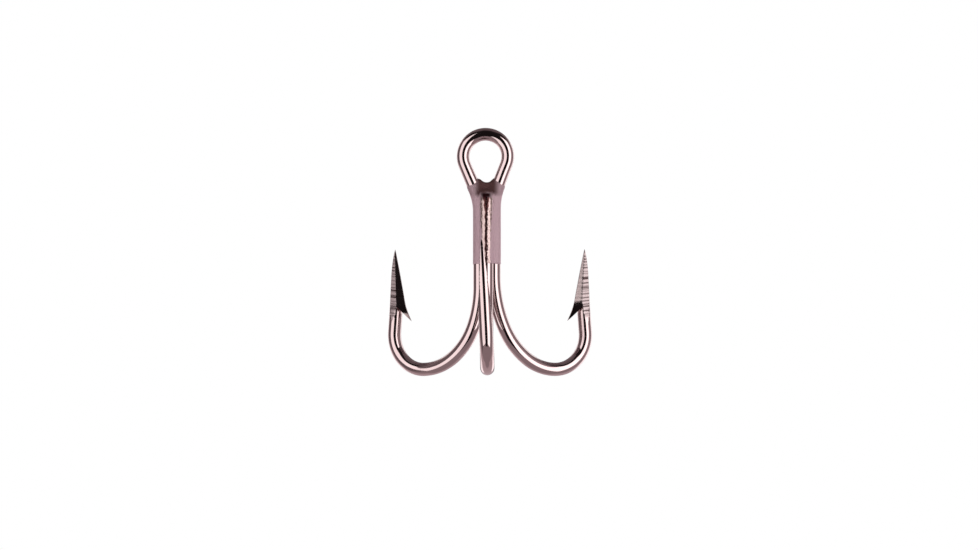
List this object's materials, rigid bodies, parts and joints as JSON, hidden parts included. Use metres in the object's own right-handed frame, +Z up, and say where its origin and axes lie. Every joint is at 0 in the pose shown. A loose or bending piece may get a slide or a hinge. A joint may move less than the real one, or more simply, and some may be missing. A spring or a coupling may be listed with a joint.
{
  "type": "treble hook",
  "caption": "Fishing hook with barbed round-bend points spread evenly about one brazed shank, below a teardrop eye.",
  "frame": {"origin": "centre of the round part of the eye, in the eye's plane", "axes": "+Z up along the shank towards the eye's top, +Y through the eye, the single hook points along -Y"},
  "size_m": [0.0248, 0.0218, 0.0297],
  "materials": {
    "polished_wire": "polished high-carbon steel wire with dark black-nickel plating",
    "plated_braze": "dull, slightly speckled black-nickel plating over braze"
  },
  "bodies": {
    "root": {"double_hook": "polished_wire", "single_hook": "polished_wire", "braze": "plated_braze"}
  },
  "joints": []
}
